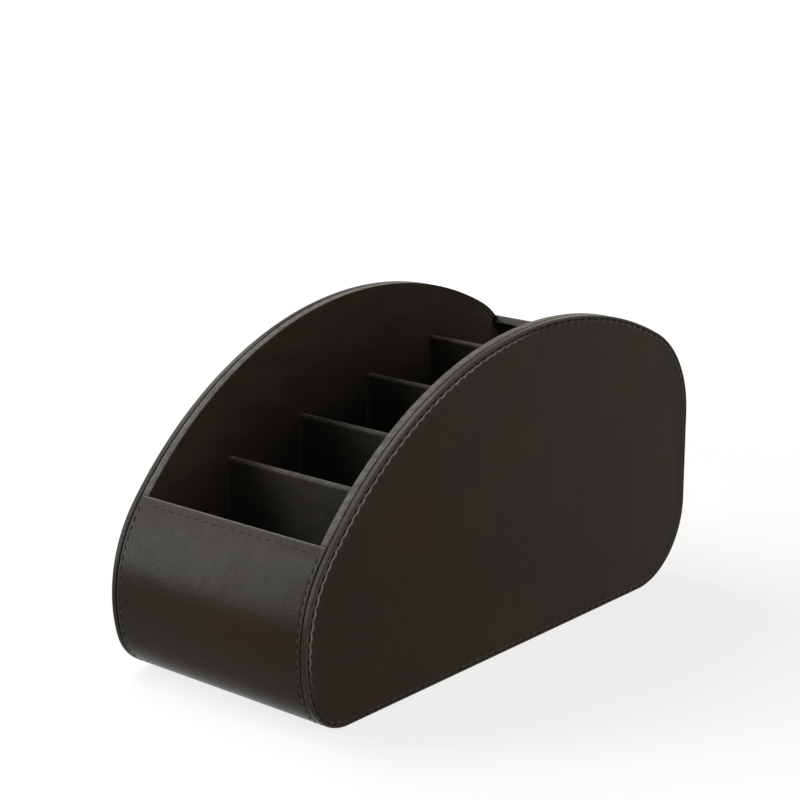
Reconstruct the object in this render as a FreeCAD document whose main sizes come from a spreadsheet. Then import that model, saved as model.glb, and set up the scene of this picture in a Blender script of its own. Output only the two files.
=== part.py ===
import FreeCAD, Part
import math
import os

import Sketcher

# Desk caddy with five open compartments, made of boards covered in leathercloth.
# Two side panels share one outline of tangent arcs. A bent shell runs between them,
# from the front lip, round the nose and toe, under the base and up to the back lip.
# X runs across the caddy, Y from its front to its back, and Z is up.
# The origin is on the floor, under the middle of the outline.

# Sizes in millimetres, and angles in degrees
SIZES = {
    # the side outline
    "width": 105.0,
    "length": 250.0,
    "height": 133.8,
    "nose_height": 31.7,
    "toe_radius": 21.4,
    "nose_radius": 60.1,
    "shoulder_drop": 59.6,
    "shoulder_radius": 45.4,
    "heel_radius": 34.5,
    # the front lip, past the nose's end about its centre, and the back lip, above
    # the level of the shoulder's centre
    "front_lip_angle": 3.8,
    "back_lip_angle": 45.0,
    # thickness of the skins and boards
    "leather": 0.9,
    "lining": 0.7,
    "panel_board": 2.4,
    "side_board": 3.0,
    "shell_board": 2.4,
    "divider_board": 2.4,
    # the dividers, placed from the outline's front and back
    "divider_count": 4,
    "divider_start": 61.0,
    "divider_end": 60.0,
    "divider_height": 78.0,
    "divider_rise": 9.0,
    # rounded and bevelled edges
    "panel_round": 1.4,
    "seam_bevel": 0.3,
    "lip_round": 0.8,
    "lining_bevel": 0.4,
    "divider_round": 1.2,
    # the felt under the base
    "felt": 0.8,
    "felt_margin": 3.0,
    "felt_corner": 6.0,
}

# Expressions that several pieces share
PANEL = "(Sizes.leather + Sizes.panel_board)"
SEAM_X = f"(Sizes.width / 2 - {PANEL})"
CLEAR_X = f"({SEAM_X} - Sizes.side_board - Sizes.lining)"
BOARD_INSIDE = "(Sizes.leather + Sizes.shell_board)"
FLOOR = f"({BOARD_INSIDE} + Sizes.lining)"
DIVIDER_PITCH = (
    "((Sizes.length - Sizes.divider_start - Sizes.divider_end)"
    " / (Sizes.divider_count - 1))"
)
DIVIDER_THICKNESS = "(Sizes.divider_board + 2 * Sizes.lining)"
NOSE_Y = "(Sizes.nose_radius - Sizes.length / 2)"
TOE_Y = (
    f"({NOSE_Y} - sqrt((Sizes.nose_radius - Sizes.toe_radius)^2"
    " - (Sizes.nose_height - Sizes.toe_radius)^2))"
)
SHOULDER_Y = "(Sizes.length / 2 - Sizes.shoulder_radius)"
SHOULDER_Z = "(Sizes.height - Sizes.shoulder_drop)"
HEEL_Y = "(Sizes.length / 2 - Sizes.heel_radius)"

# The leather turned over a lip is as long as it is thick
FRONT_LIP = "Sizes.front_lip_angle"
BACK_LIP = "Sizes.back_lip_angle"
FRONT_BOARD_END = f"({FRONT_LIP} - Sizes.leather / Sizes.nose_radius * 180 / pi)"
BACK_BOARD_END = f"({BACK_LIP} - Sizes.leather / Sizes.shoulder_radius * 180 / pi)"

# The outline's pieces, counter-clockwise as seen from the right
OUTLINE = ("base", "heel", "back", "shoulder", "crown", "nose", "toe")
SHELL_RUN = ("crown", "nose", "toe", "base", "heel", "back", "shoulder")
FRONT_RUN = ("crown", "nose", "toe")
BACK_RUN = ("heel", "back", "shoulder")
TOP_RUN = ("shoulder", "crown")
STRAIGHT = ("base", "back")

# A sketch numbers an arc's points from one, and its own origin and axes below zero
START, END, CENTRE = range(1, 4)
SKETCH_X_AXIS = -1
ORIGIN = (SKETCH_X_AXIS, START)
TOLERANCE = 1e-4

doc = FreeCAD.newDocument("caddy")
sheet = doc.addObject("Spreadsheet::Sheet", "Sizes")


def fill_sheet():
    """Write every size into the sheet, under its own name."""
    for row, (name, number) in enumerate(SIZES.items(), 1):
        sheet.set(f"A{row}", name)
        sheet.set(f"B{row}", str(number))
        sheet.setAlias(f"B{row}", name)
    doc.recompute()


def value(expression):
    """Work out an expression of the sizes."""
    return float(sheet.evalExpression(expression))


# The outline as numbers


def crown_arc(nose, nose_radius, shoulder, shoulder_radius):
    """Give the circle that touches the height and holds the nose and the shoulder.

    Its radius is (y - c)^2 / (2 * low) + high / 2 for each of the two circles, where
    c is the circle's own Y, and low and high reach from the height to its near and
    far side. Both must give the same radius.
    """
    height = value("Sizes.height")
    nose_low = height - nose[1] - nose_radius
    nose_high = height - nose[1] + nose_radius
    shoulder_low = height - shoulder[1] - shoulder_radius
    shoulder_high = height - shoulder[1] + shoulder_radius
    square = 1 / nose_low - 1 / shoulder_low
    single = -2 * (nose[0] / nose_low - shoulder[0] / shoulder_low)
    fixed = nose[0] ** 2 / nose_low - shoulder[0] ** 2 / shoulder_low
    fixed += nose_high - shoulder_high
    crown_y = -2 * fixed / (single + math.sqrt(single**2 - 4 * square * fixed))
    radius = (crown_y - nose[0]) ** 2 / (2 * nose_low) + nose_high / 2
    return (crown_y, height - radius), radius


def outline_arcs():
    """Give each arc of the side outline as its centre, in Y and Z, and its radius."""
    names = ("toe", "nose", "shoulder", "heel")
    radii = {name: value(f"Sizes.{name}_radius") for name in names}
    centres = {
        "toe": (value(TOE_Y), radii["toe"]),
        "nose": (value(NOSE_Y), value("Sizes.nose_height")),
        "shoulder": (value(SHOULDER_Y), value(SHOULDER_Z)),
        "heel": (value(HEEL_Y), radii["heel"]),
    }
    arcs = {name: (centres[name], radii[name]) for name in names}
    arcs["crown"] = crown_arc(*arcs["nose"], *arcs["shoulder"])
    return arcs


def direction(start, end):
    """Give the angle from one point to another, between 0 and a full turn."""
    return math.atan2(end[1] - start[1], end[0] - start[0]) % (2 * math.pi)


def arc_angles(arcs):
    """Give the angles at which each arc of the outline starts and ends."""
    centres = {name: centre for name, (centre, radius) in arcs.items()}
    to_shoulder = direction(centres["crown"], centres["shoulder"])
    to_nose = direction(centres["crown"], centres["nose"])
    to_toe = direction(centres["nose"], centres["toe"])
    return {
        "heel": (math.pi * 1.5, math.pi * 2),
        "shoulder": (0.0, to_shoulder),
        "crown": (to_shoulder, to_nose),
        "nose": (to_nose, to_toe),
        "toe": (to_toe, math.pi * 1.5),
    }


# Sketches of the outline


def profile_sketch(body, name):
    """Start a sketch on the body's own upright plane, seen from the right."""
    sketch = body.newObject("Sketcher::SketchObject", name)
    planes = [item for item in body.Origin.OriginFeatures if item.Role == "YZ_Plane"]
    sketch.AttachmentSupport = [(planes[0], "")]
    sketch.MapMode = "FlatFace"
    return sketch


def relate(sketch, kind, *where):
    """Add a constraint that has no size."""
    sketch.addConstraint(Sketcher.Constraint(kind, *where))


def tie(sketch, name, expression, kind, *where):
    """Add a named constraint whose size follows an expression."""
    number = value(expression)
    if kind == "Angle":
        number = math.radians(number)
        expression = f"{expression} * 1 deg"
    index = sketch.addConstraint(Sketcher.Constraint(kind, *where, number))
    sketch.renameConstraint(index, name)
    sketch.setExpression(f"Constraints.{name}", expression)


def circle(centre, radius):
    """Make a circle in a sketch's plane."""
    return Part.Circle(FreeCAD.Vector(*centre, 0), FreeCAD.Vector(0, 0, 1), radius)


def tie_arc(sketch, tag, element, index, arcs, inset):
    """Hold one arc of the outline by its own sizes."""
    if element == "crown":
        tie_crown(sketch, tag, index, arcs, inset)
        return
    tie(sketch, f"{tag}_{element}_radius", f"Sizes.{element}_radius - {inset}",
        "Radius", index)
    if element == "nose":
        tie(sketch, f"{tag}_nose_y", f"-{NOSE_Y}", "DistanceX", index, CENTRE, *ORIGIN)
        tie(sketch, f"{tag}_nose_z", "Sizes.nose_height",
            "DistanceY", *ORIGIN, index, CENTRE)
    if element == "shoulder":
        tie(sketch, f"{tag}_shoulder_z", SHOULDER_Z, "DistanceY", *ORIGIN, index, CENTRE)


def tie_crown(sketch, tag, index, arcs, inset):
    """Hold the crown's top at the height, by a guide line up from its centre."""
    centre, radius = arcs["crown"]
    foot = FreeCAD.Vector(*centre, 0)
    head = FreeCAD.Vector(centre[0], centre[1] + radius - value(inset), 0)
    line = sketch.addGeometry(Part.LineSegment(foot, head), True)
    relate(sketch, "Coincident", line, START, index, CENTRE)
    relate(sketch, "Vertical", line)
    relate(sketch, "PointOnObject", line, END, index)
    tie(sketch, f"{tag}_top", f"Sizes.height - {inset}", "DistanceY", *ORIGIN, line, END)


def tie_line(sketch, tag, element, index, inset):
    """Hold the flat base or the upright back at its distance from the middle."""
    if element == "back":
        relate(sketch, "Vertical", index)
        tie(sketch, f"{tag}_back_y", f"Sizes.length / 2 - {inset}",
            "DistanceX", *ORIGIN, index, START)
        return
    relate(sketch, "Horizontal", index)
    if inset == "0":
        relate(sketch, "PointOnObject", index, START, SKETCH_X_AXIS)
    else:
        tie(sketch, f"{tag}_base_z", inset, "DistanceY", *ORIGIN, index, START)


def add_guide(sketch, tag, element, arcs, inset):
    """Draw a whole arc of the outline as a construction circle."""
    centre, radius = arcs[element]
    index = sketch.addGeometry(circle(centre, radius - value(inset)), True)
    tie_arc(sketch, f"{tag}_guide", element, index, arcs, inset)
    return index


def tie_neighbours(sketch, tag, drawn, joined, arcs, inset):
    """Hold a run where its neighbours on the outline aren't part of it."""
    between = {"nose": ("crown", "nose"), "shoulder": ("shoulder", "crown")}
    back_drawn = "back" in drawn
    if "crown" in drawn:
        for element, pair in between.items():
            if element not in drawn:
                drawn[element] = add_guide(sketch, tag, element, arcs, inset)
            if pair not in joined:
                relate(sketch, "Tangent", drawn["crown"], drawn[element])
    if "shoulder" in drawn and not back_drawn:
        tie(sketch, f"{tag}_shoulder_y", SHOULDER_Y,
            "DistanceX", *ORIGIN, drawn["shoulder"], CENTRE)
    for element in ("toe", "heel"):
        if element in drawn and "base" not in drawn:
            tie(sketch, f"{tag}_{element}_z", f"Sizes.{element}_radius",
                "DistanceY", *ORIGIN, drawn[element], CENTRE)


def add_run(sketch, tag, run, inset="0", first_stop=None, last_stop=None):
    """Draw part of the outline, set in from its edge, up to the stops at its ends.

    Returns the number of each piece and guide in the sketch.
    """
    arcs = outline_arcs()
    limits = arc_angles(arcs)
    drawn = {}
    for element in run:
        if element in STRAIGHT:
            drawn[element] = sketch.addGeometry(straight(element, arcs, inset), False)
            tie_line(sketch, tag, element, drawn[element], inset)
            continue
        first, last = limits[element]
        if first_stop and element == run[0]:
            first = first_stop.place(arcs, inset)
        if last_stop and element == run[-1]:
            last = last_stop.place(arcs, inset)
        centre, radius = arcs[element]
        arc = Part.ArcOfCircle(circle(centre, radius - value(inset)), first, last)
        drawn[element] = sketch.addGeometry(arc, False)
        tie_arc(sketch, tag, element, drawn[element], arcs, inset)
    joined = list(zip(run, run[1:]))
    if run == OUTLINE:
        joined.append((run[-1], run[0]))
    for before, after in joined:
        relate(sketch, "Tangent", drawn[before], END, drawn[after], START)
    tie_neighbours(sketch, tag, drawn, joined, arcs, inset)
    return drawn


def straight(element, arcs, inset):
    """Make the flat base or the upright back as a line."""
    gap = value(inset)
    if element == "base":
        start = (arcs["toe"][0][0], gap)
        end = (arcs["heel"][0][0], gap)
    else:
        back_y = value("Sizes.length / 2") - gap
        start = (back_y, arcs["heel"][0][1])
        end = (back_y, arcs["shoulder"][0][1])
    return Part.LineSegment(FreeCAD.Vector(*start, 0), FreeCAD.Vector(*end, 0))


class FrontStop:
    """The front lip's line, through the nose's centre, at an angle past the nose's end."""

    def __init__(self, angle):
        self.angle = angle

    def place(self, arcs, inset):
        """Give the angle about the crown's centre at which the line meets the crown."""
        nose = arcs["nose"][0]
        crown, crown_radius = arcs["crown"]
        slope = direction(crown, nose) - math.radians(value(self.angle))
        along = (math.cos(slope), math.sin(slope))
        offset = (nose[0] - crown[0], nose[1] - crown[1])
        toward = offset[0] * along[0] + offset[1] * along[1]
        square = toward**2 - math.hypot(*offset) ** 2 + (crown_radius - value(inset)) ** 2
        reach = math.sqrt(square) - toward
        return direction(crown, (nose[0] + reach * along[0], nose[1] + reach * along[1]))

    def hold(self, sketch, tag, line, drawn):
        """Hold a line by its angle to the one from the crown's centre to the nose's."""
        ends = [sketch.getPoint(drawn[name], CENTRE) for name in ("crown", "nose")]
        axis = sketch.addGeometry(Part.LineSegment(*ends), True)
        relate(sketch, "Coincident", axis, START, drawn["crown"], CENTRE)
        relate(sketch, "Coincident", axis, END, drawn["nose"], CENTRE)
        relate(sketch, "PointOnObject", drawn["nose"], CENTRE, line)
        tie(sketch, f"{tag}_angle", self.angle, "Angle", line, START, axis, START)


class BackStop:
    """The back lip's line, through the shoulder's centre, at an angle above its level."""

    def __init__(self, angle):
        self.angle = angle

    def place(self, arcs, inset):
        """Give the angle about the shoulder's centre."""
        return math.radians(value(self.angle))

    def hold(self, sketch, tag, line, drawn):
        """Hold a line by its own angle."""
        relate(sketch, "PointOnObject", drawn["shoulder"], CENTRE, line)
        tie(sketch, f"{tag}_angle", self.angle, "Angle", line)


class FootStop:
    """An upright line under the centre of the toe or heel, where the base starts."""

    def __init__(self, element):
        self.element = element

    def place(self, arcs, inset):
        """Give the angle about the toe's or heel's centre."""
        return math.pi * 1.5

    def hold(self, sketch, tag, line, drawn):
        """Hold a line upright under the centre."""
        relate(sketch, "PointOnObject", drawn[self.element], CENTRE, line)
        relate(sketch, "Vertical", line)


def add_band(sketch, tag, run, outside, inside, first_stop, last_stop):
    """Draw a band of even thickness along part of the outline, closed at its stops."""
    outer = add_run(sketch, f"{tag}_outer", run, outside, first_stop, last_stop)
    inner = add_run(sketch, f"{tag}_inner", run, inside, first_stop, last_stop)
    ends = ((run[0], START, first_stop), (run[-1], END, last_stop))
    for number, (element, end_of, stop) in enumerate(ends, 1):
        sides = (inner[element], outer[element])
        points = [sketch.getPoint(side, end_of) for side in sides]
        line = sketch.addGeometry(Part.LineSegment(*points), False)
        relate(sketch, "Coincident", line, START, inner[element], end_of)
        relate(sketch, "Coincident", line, END, outer[element], end_of)
        stop.hold(sketch, f"{tag}_end_{number}", line, outer)


# Bodies and features


def new_body(name, across="0"):
    """Start a piece of the caddy, raised by the felt under the base."""
    body = doc.addObject("PartDesign::Body", name)
    body.Label = name
    body.setExpression("Placement.Base.x", across)
    body.setExpression("Placement.Base.z", "Sizes.felt")
    return body


def add_pad(body, sketch, name, length, toward=0):
    """Pad a sketch: to both sides of it, or toward plus or minus X."""
    pad = body.newObject("PartDesign::Pad", name)
    pad.Profile = sketch
    pad.SideType = "One side" if toward else "Symmetric"
    pad.Reversed = toward < 0
    pad.setExpression("Length", length)


def add_pocket(body, sketch, name, depth, toward):
    """Cut a sketch out of the body toward plus or minus X."""
    doc.recompute()
    before = body.Shape.Volume
    pocket = body.newObject("PartDesign::Pocket", name)
    pocket.Profile = sketch
    pocket.Reversed = toward > 0
    pocket.setExpression("Length", depth)
    doc.recompute()
    if body.Shape.Volume > before - TOLERANCE:
        raise RuntimeError(f"{name} cut nothing from {body.Label}")


def add_box(body, kind, name, corner, extent):
    """Add or cut a box, from expressions for its low corner and its extent."""
    box = body.newObject(f"PartDesign::{kind}Box", name)
    for axis, expression in zip("xyz", corner):
        box.setExpression(f"Placement.Base.{axis}", expression)
    for side, expression in zip(("Length", "Width", "Height"), extent):
        box.setExpression(side, expression)


def dress_edges(body, kind, name, size, chosen):
    """Fillet or chamfer those edges of the body's last feature that a test picks."""
    doc.recompute()
    base = body.Tip
    edges = enumerate(base.Shape.Edges, 1)
    names = [f"Edge{number}" for number, edge in edges if chosen(edge)]
    if not names:
        raise RuntimeError(f"{name} finds no edge on {body.Label}")
    feature = body.newObject(f"PartDesign::{kind}", name)
    feature.Base = (base, names)
    feature.setExpression("Radius" if kind == "Fillet" else "Size", size)


def lies_at(edge, axis, place):
    """Tell whether a whole edge lies at one coordinate along an axis."""
    ends = [edge.valueAt(edge.FirstParameter), edge.valueAt(edge.LastParameter)]
    return all(abs(point[axis] - place) < TOLERANCE for point in ends)


def middle_of(edge):
    """Give the point halfway along an edge."""
    return edge.valueAt((edge.FirstParameter + edge.LastParameter) / 2)


def on_outline(point):
    """Tell whether a point lies on the side outline."""
    arcs = outline_arcs()
    toe, heel, shoulder = (arcs[name][0] for name in ("toe", "heel", "shoulder"))
    if abs(point.z) < TOLERANCE:
        return toe[0] < point.y < heel[0]
    if abs(point.y - value("Sizes.length / 2")) < TOLERANCE:
        return heel[1] < point.z < shoulder[1]
    for element, (first, last) in arc_angles(arcs).items():
        centre, radius = arcs[element]
        reach = math.hypot(point.y - centre[0], point.z - centre[1])
        gone_round = (direction(centre, (point.y, point.z)) - first) % (2 * math.pi)
        if abs(reach - radius) < TOLERANCE and gone_round <= last - first:
            return True
    return False


def runs_along(edge, axis):
    """Tell whether an edge is straight and runs along an axis."""
    start = edge.valueAt(edge.FirstParameter)
    end = edge.valueAt(edge.LastParameter)
    return abs(abs(end[axis] - start[axis]) - edge.Length) < TOLERANCE


# Side panels


def side_name(name, side):
    """Name a piece of the left or right side."""
    return f"{name}_{'right' if side > 0 else 'left'}"


def build_outer_cover(side):
    """Leather over the outer panel's face and round its edge."""
    body = new_body(side_name("outer_side_cover", side), f"{side} * {SEAM_X}")
    sketch = profile_sketch(body, "face_outline")
    add_run(sketch, "face", OUTLINE)
    add_pad(body, sketch, "face", PANEL, side)
    outer_x = side * value(PANEL)
    dress_edges(body, "Fillet", "outer_edge", "Sizes.panel_round",
                lambda edge: lies_at(edge, 0, outer_x))
    dress_edges(body, "Chamfer", "seam_edge", "Sizes.seam_bevel",
                lambda edge: lies_at(edge, 0, 0.0))
    recess = profile_sketch(body, "board_outline")
    add_run(recess, "board", OUTLINE, "Sizes.leather")
    add_pocket(body, recess, "board_recess", "Sizes.panel_board", side)
    return body


def build_flat_board(name, side, thickness, toward):
    """A flat board with the side outline, set in by the leather round it."""
    body = new_body(side_name(name, side), f"{side} * {SEAM_X}")
    sketch = profile_sketch(body, "outline")
    add_run(sketch, "board", OUTLINE, "Sizes.leather")
    add_pad(body, sketch, "board", thickness, toward)
    return body


def build_side_lining(side):
    """Lining on the inner board's face, turned over its edge along the open top."""
    body = new_body(side_name("inner_side_lining", side), f"{side} * {CLEAR_X}")
    sheet_outline = profile_sketch(body, "sheet_outline")
    add_run(sheet_outline, "sheet", OUTLINE, "Sizes.leather")
    add_pad(body, sheet_outline, "sheet", "Sizes.lining", side)
    edge_outline = profile_sketch(body, "edge_outline")
    add_band(edge_outline, "edge", TOP_RUN, "0", "Sizes.leather",
             BackStop(BACK_LIP), FrontStop(FRONT_LIP))
    add_pad(body, edge_outline, "edge", "Sizes.lining + Sizes.side_board", side)
    dress_edges(body, "Chamfer", "inner_edge", "Sizes.lining_bevel",
                lambda edge: lies_at(edge, 0, 0.0) and on_outline(middle_of(edge)))
    return body


# The bent shell


def build_shell_cover():
    """One leather sheet round the front, base and back, turned over both lips."""
    body = new_body("shell_cover")
    sketch = profile_sketch(body, "sheet_outline")
    add_band(sketch, "sheet", SHELL_RUN, "0", "Sizes.leather",
             FrontStop(FRONT_LIP), BackStop(BACK_LIP))
    add_pad(body, sketch, "sheet", f"2 * {SEAM_X}")
    front = profile_sketch(body, "front_lip_outline")
    add_band(front, "front_lip", ("crown",), "0", FLOOR,
             FrontStop(FRONT_LIP), FrontStop(FRONT_BOARD_END))
    add_pad(body, front, "front_lip", f"2 * {CLEAR_X}")
    back = profile_sketch(body, "back_lip_outline")
    add_band(back, "back_lip", ("shoulder",), "0", FLOOR,
             BackStop(BACK_BOARD_END), BackStop(BACK_LIP))
    add_pad(body, back, "back_lip", f"2 * {CLEAR_X}")
    seam_x = value(SEAM_X)
    dress_edges(body, "Fillet", "lip_edges", "Sizes.lip_round", is_lip_edge)
    dress_edges(body, "Chamfer", "seam_edges", "Sizes.seam_bevel",
                lambda edge: abs(abs(middle_of(edge).x) - seam_x) < TOLERANCE
                and on_outline(middle_of(edge)))
    return body


def is_lip_edge(edge):
    """Tell whether an edge runs along the end of a lip, outside or inside."""
    if not runs_along(edge, 0):
        return False
    arcs = outline_arcs()
    point = middle_of(edge)
    for element, stop in (("crown", FrontStop(FRONT_LIP)), ("shoulder", BackStop(BACK_LIP))):
        (centre_y, centre_z), radius = arcs[element]
        for inset in ("0", FLOOR):
            angle = stop.place(arcs, inset)
            reach = radius - value(inset)
            lip_y = centre_y + reach * math.cos(angle)
            lip_z = centre_z + reach * math.sin(angle)
            if math.hypot(point.y - lip_y, point.z - lip_z) < TOLERANCE:
                return True
    return False


def build_front_board():
    """The board bent round the nose and toe, between the side linings."""
    body = new_body("front_board")
    sketch = profile_sketch(body, "section")
    add_band(sketch, "board", FRONT_RUN, "Sizes.leather", BOARD_INSIDE,
             FrontStop(FRONT_BOARD_END), FootStop("toe"))
    add_pad(body, sketch, "board", f"2 * {CLEAR_X}")
    return body


def build_back_board():
    """The board bent round the heel and shoulder, between the side linings."""
    body = new_body("back_board")
    sketch = profile_sketch(body, "section")
    add_band(sketch, "board", BACK_RUN, "Sizes.leather", BOARD_INSIDE,
             FootStop("heel"), BackStop(BACK_BOARD_END))
    add_pad(body, sketch, "board", f"2 * {CLEAR_X}")
    return body


def build_base_board():
    """The flat board between the bent ones."""
    body = new_body("base_board")
    add_box(body, "Additive", "board",
            (f"-{CLEAR_X}", TOE_Y, "Sizes.leather"),
            (f"2 * {CLEAR_X}", f"{HEEL_Y} - {TOE_Y}", "Sizes.shell_board"))
    return body


def build_shell_lining():
    """One lining sheet down the front, over the floor and up the back."""
    body = new_body("shell_lining")
    sketch = profile_sketch(body, "section")
    add_band(sketch, "lining", SHELL_RUN, BOARD_INSIDE, FLOOR,
             FrontStop(FRONT_BOARD_END), BackStop(BACK_BOARD_END))
    add_pad(body, sketch, "lining", f"2 * {CLEAR_X}")
    return body


# Dividers


def divider_place(number):
    """Give expressions for a divider's middle and its top."""
    middle = f"(Sizes.divider_start - Sizes.length / 2 + {number} * {DIVIDER_PITCH})"
    top = f"(Sizes.divider_height + {number} * Sizes.divider_rise)"
    return middle, top


def build_divider_board(number):
    """A flat board that stands on the floor lining."""
    middle, top = divider_place(number)
    body = new_body(f"divider_board_{number + 1}")
    add_box(body, "Additive", "board",
            (f"-{CLEAR_X}", f"{middle} - Sizes.divider_board / 2", FLOOR),
            (f"2 * {CLEAR_X}", "Sizes.divider_board", f"{top} - Sizes.lining - {FLOOR}"))
    return body


def build_divider_cover(number):
    """Lining folded over a divider's top and down both of its faces."""
    middle, top = divider_place(number)
    body = new_body(f"divider_cover_{number + 1}")
    add_box(body, "Additive", "fold",
            (f"-{CLEAR_X}", f"{middle} - {DIVIDER_THICKNESS} / 2", FLOOR),
            (f"2 * {CLEAR_X}", DIVIDER_THICKNESS, f"{top} - {FLOOR}"))
    top_z = value(top)
    dress_edges(body, "Fillet", "top_edges", "Sizes.divider_round",
                lambda edge: runs_along(edge, 0) and lies_at(edge, 2, top_z))
    add_box(body, "Subtractive", "board_slot",
            (f"-{CLEAR_X}", f"{middle} - Sizes.divider_board / 2", FLOOR),
            (f"2 * {CLEAR_X}", "Sizes.divider_board", f"{top} - Sizes.lining - {FLOOR}"))
    return body


# Felt


def build_base_felt():
    """A felt sheet glued under the flat of the base."""
    body = new_body("base_felt")
    add_box(body, "Additive", "felt",
            (f"Sizes.felt_margin - {SEAM_X}", f"{TOE_Y} + Sizes.felt_margin", "-Sizes.felt"),
            (f"2 * ({SEAM_X} - Sizes.felt_margin)",
             f"{HEEL_Y} - {TOE_Y} - 2 * Sizes.felt_margin", "Sizes.felt"))
    dress_edges(body, "Fillet", "corners", "Sizes.felt_corner",
                lambda edge: runs_along(edge, 2))
    return body


# The whole caddy


def build_pieces():
    """Build every piece and return the bodies."""
    bodies = []
    for side in (-1, 1):
        bodies.append(build_outer_cover(side))
        bodies.append(build_flat_board("outer_side_board", side, "Sizes.panel_board", side))
        bodies.append(build_flat_board("inner_side_board", side, "Sizes.side_board", -side))
        bodies.append(build_side_lining(side))
    bodies.append(build_shell_cover())
    bodies.append(build_front_board())
    bodies.append(build_base_board())
    bodies.append(build_back_board())
    bodies.append(build_shell_lining())
    for number in range(SIZES["divider_count"]):
        bodies.append(build_divider_board(number))
        bodies.append(build_divider_cover(number))
    bodies.append(build_base_felt())
    return bodies


def check_document(bodies):
    """Stop if any object failed or any piece has no sound solid."""
    for item in doc.Objects:
        if {"Invalid", "Error"} & set(item.State):
            raise RuntimeError(f"{item.Label} failed: {item.State}")
        if item.TypeId == "Sketcher::SketchObject" and not item.FullyConstrained:
            raise RuntimeError(f"{item.Label} isn't fully constrained")
    for body in bodies:
        shape = body.Shape
        if shape.isNull() or not shape.isValid() or not shape.Solids:
            raise RuntimeError(f"{body.Label} has no sound solid")


def export_pieces(bodies):
    """Write each piece to a file of its own."""
    os.makedirs("parts", exist_ok=True)
    for body in bodies:
        body.Shape.exportStep(f"parts/{body.Label}.step")
        print(f"{body.Label}: {len(body.Shape.Solids)} solid, {body.Shape.Volume:.0f} mm3")


fill_sheet()
pieces = build_pieces()
doc.recompute()
check_document(pieces)
export_pieces(pieces)
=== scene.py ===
"""A desk caddy with five open compartments, covered in dark leathercloth.

The leather, linings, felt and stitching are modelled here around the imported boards.
Lengths are in metres. X runs across the caddy, Y from its front to its back, Z is up.
"""

import logging
import math
from dataclasses import dataclass, field, replace
from enum import Enum
from functools import cached_property
from typing import Callable, Iterable, Union

import bmesh
import bpy
from mathutils import Color, Matrix, Vector
from mathutils.kdtree import KDTree


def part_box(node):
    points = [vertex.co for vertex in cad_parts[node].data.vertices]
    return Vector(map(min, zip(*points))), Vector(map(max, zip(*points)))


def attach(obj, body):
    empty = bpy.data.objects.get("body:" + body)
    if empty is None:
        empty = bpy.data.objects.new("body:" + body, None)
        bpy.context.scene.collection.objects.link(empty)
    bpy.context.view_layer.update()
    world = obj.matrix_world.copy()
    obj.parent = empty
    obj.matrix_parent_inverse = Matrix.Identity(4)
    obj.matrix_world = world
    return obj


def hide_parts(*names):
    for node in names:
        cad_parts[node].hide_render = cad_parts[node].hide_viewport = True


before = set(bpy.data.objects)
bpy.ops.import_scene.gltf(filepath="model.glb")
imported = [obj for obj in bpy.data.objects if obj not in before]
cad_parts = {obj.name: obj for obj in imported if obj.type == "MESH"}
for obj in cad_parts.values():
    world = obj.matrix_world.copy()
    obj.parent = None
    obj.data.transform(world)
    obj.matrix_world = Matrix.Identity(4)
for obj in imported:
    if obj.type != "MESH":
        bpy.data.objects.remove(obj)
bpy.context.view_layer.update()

log = logging.getLogger("caddy")

MM = 0.001
ACROSS = Vector((1, 0, 0))
TINY = 1e-6
ON_LINE = 10 * TINY

Point = tuple[float, float]
Colour = tuple[float, float, float, float]
Run = list[Union["Arc", "Straight"]]
Level = Callable[[Vector], float]
Material = bpy.types.Material
Piece = bpy.types.Object
Socket = bpy.types.NodeSocket


class Slot(Enum):
    """Names of material slots for the soft pieces, which the script does not give to any
    piece.
    """

    LEATHER = "leathercloth"
    LINING = "lining"
    FELT = "felt"


class Element(Enum):
    """What a selection in edit mode is made of."""

    VERTEX = "VERT"
    EDGE = "EDGE"
    FACE = "FACE"


class Side(Enum):
    """The caddy's two sides, as the sign of X."""

    LEFT = -1
    RIGHT = 1

    @property
    def word(self) -> str:
        """The side's name as the nodes have it."""
        return self.name.lower()


# The side outline


@dataclass(frozen=True)
class Sample:
    """A point on the side outline, with the ways along it and in from it."""

    place: Vector
    along: Vector

    @property
    def inward(self) -> Vector:
        """The way in from the outline, at right angles to it."""
        return ACROSS.cross(self.along)

    def gone(self, place: Vector) -> float:
        """How far a place lies along from the sample."""
        return (place - self.place).dot(self.along)

    def beside(self, place: Vector) -> float:
        """How far a place lies in from the sample."""
        return (place - self.place).dot(self.inward)


@dataclass(frozen=True)
class Arc:
    """An arc of the side outline, about a centre in Y and Z, counter-clockwise."""

    centre: Point
    radius: float
    first: float
    last: float
    steps: int = 0

    @property
    def length(self) -> float:
        """The arc's length."""
        return (self.last - self.first) * self.radius

    def at(self, share: float) -> Sample:
        """Give the sample at a share of the arc.

        Args:
            share: From 0 at its first end to 1 at its last.

        Returns:
            The sample.
        """
        angle = self.first + share * (self.last - self.first)
        cos, sin = math.cos(angle), math.sin(angle)
        y, z = self.centre
        place = Vector((0, y + self.radius * cos, z + self.radius * sin))
        return Sample(place, Vector((0, -sin, cos)))

    def set_in(self, inset: float) -> "Arc":
        """The same arc nearer its centre."""
        return replace(self, radius=self.radius - inset)

    def draw(self, bench: "Bench", count: int) -> None:
        """Draw the arc in even steps on from the selected vertex."""
        bench.turn(count, self.last - self.first, self.centre)


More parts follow.
